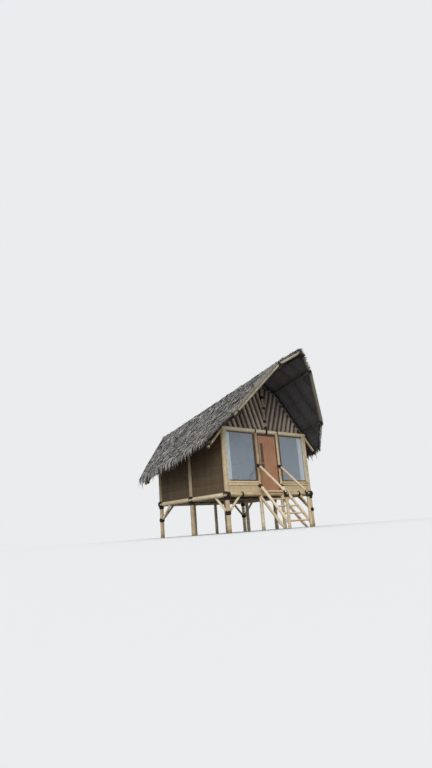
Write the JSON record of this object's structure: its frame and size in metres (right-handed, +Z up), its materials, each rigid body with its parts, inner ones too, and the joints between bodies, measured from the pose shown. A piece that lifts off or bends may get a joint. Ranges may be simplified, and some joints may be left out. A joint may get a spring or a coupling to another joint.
{
  "type": "bamboo stilt house",
  "caption": "Bamboo cabin on pole stilts with a prow-fronted thatched roof, wide front windows, a hinged door and an open pole stair.",
  "frame": {"origin": "on the ground, midway between the two ends of the ridge pole, on the middle plane of the house", "axes": "+X to the right seen from the front, +Y from the front door to the back, +Z up"},
  "size_m": [5.9766, 7.6522, 5.9587],
  "materials": {
    "bamboo": "dry bamboo poles, satin",
    "pale_bamboo": "pale weathered bamboo poles, matte",
    "dark_bamboo": "dark shaded bamboo and stained battens, matte",
    "woven_panel": "light woven bamboo mat, matte",
    "brown_mat": "brown woven bamboo mat, matte",
    "thatch": "weathered grey grass thatch, matte",
    "window_glass": "clear pane",
    "door_glass": "dark narrow pane",
    "plywood": "red-brown varnished plywood",
    "curtain": "thin white cotton",
    "steel": "brushed"
  },
  "bodies": {
    "house": {"front_corner_posts": "bamboo", "side_posts": "bamboo", "back_corner_posts": "bamboo", "door_posts": "bamboo", "door_stilts": "bamboo", "inner_stilts": "bamboo", "cross_beams": "bamboo", "side_beams": "bamboo", "floor_joists": "dark_bamboo", "floor_deck": "woven_panel", "knee_braces": "bamboo", "front_top_beam": "bamboo", "back_top_beam": "bamboo", "sill_poles": "pale_bamboo", "front_panels": "woven_panel", "window_stiles": "dark_bamboo", "window_rails": "dark_bamboo", "window_glass": "window_glass", "curtains": "curtain", "door_jambs": "dark_bamboo", "door_head": "dark_bamboo", "threshold_pole": "pale_bamboo", "door_hinge_pins": "steel", "left_wall": "brown_mat", "right_wall": "brown_mat", "back_wall": "brown_mat", "back_gable": "brown_mat", "front_gable_poles": "bamboo", "front_gable_mat": "brown_mat", "king_posts": "dark_bamboo", "principal_rafters": "dark_bamboo", "ridge_pole": "dark_bamboo", "kink_purlins": "dark_bamboo", "wall_plates": "dark_bamboo", "eave_poles": "dark_bamboo", "eave_struts": "bamboo", "left_rafters": "dark_bamboo", "right_rafters": "dark_bamboo", "rake_poles": "pale_bamboo", "left_mat": "brown_mat", "right_mat": "brown_mat", "left_thatch": "thatch", "right_thatch": "thatch", "ridge_cap": "thatch", "stair_stringers": "bamboo", "stair_treads": "pale_bamboo", "stair_handrails": "bamboo", "stair_newels": "bamboo"},
    "door": {"door_leaf": "plywood", "door_pane": "door_glass", "door_levers": "steel", "door_hinge_leaves": "steel"}
  },
  "joints": [
    {"name": "door_swing", "type": "hinge", "parent": "house", "child": "door", "pos_m": [0.4522, -1.658, 2.3], "axis": [0, 0, -1], "range_deg": [0, 90]}
  ]
}
